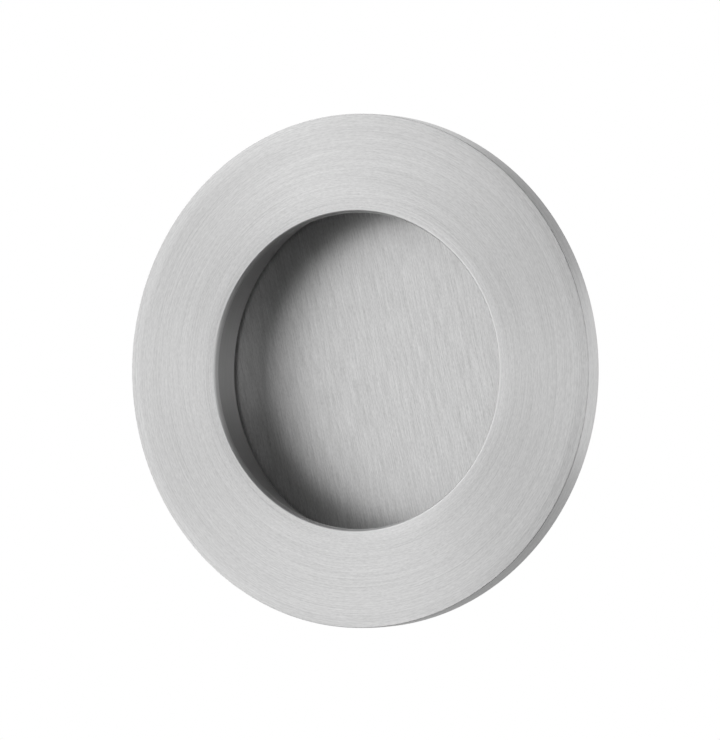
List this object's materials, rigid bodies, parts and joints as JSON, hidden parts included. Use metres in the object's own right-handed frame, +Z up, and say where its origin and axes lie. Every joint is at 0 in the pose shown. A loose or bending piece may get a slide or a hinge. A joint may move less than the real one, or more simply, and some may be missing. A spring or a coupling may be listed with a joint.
{
  "type": "recessed pull handle",
  "caption": "Round recessed pull handle: a turned flange with an undercut finger recess, a flat floor disc, and a short barrel that fits a round hole in a sliding door.",
  "frame": {"origin": "on the handle's axis, in the plane of the flange's back face, which is the face of the door", "axes": "+Y along the axis into the door, the front faces -Y, +Z up"},
  "size_m": [0.065, 0.011, 0.065],
  "materials": {
    "ring_steel": "stainless steel, satin with a fine circular grain on the face",
    "floor_steel": "stainless steel sheet, satin with a straight grain"
  },
  "bodies": {
    "root": {"pull_ring": "ring_steel", "floor_disc": "floor_steel"}
  },
  "joints": []
}
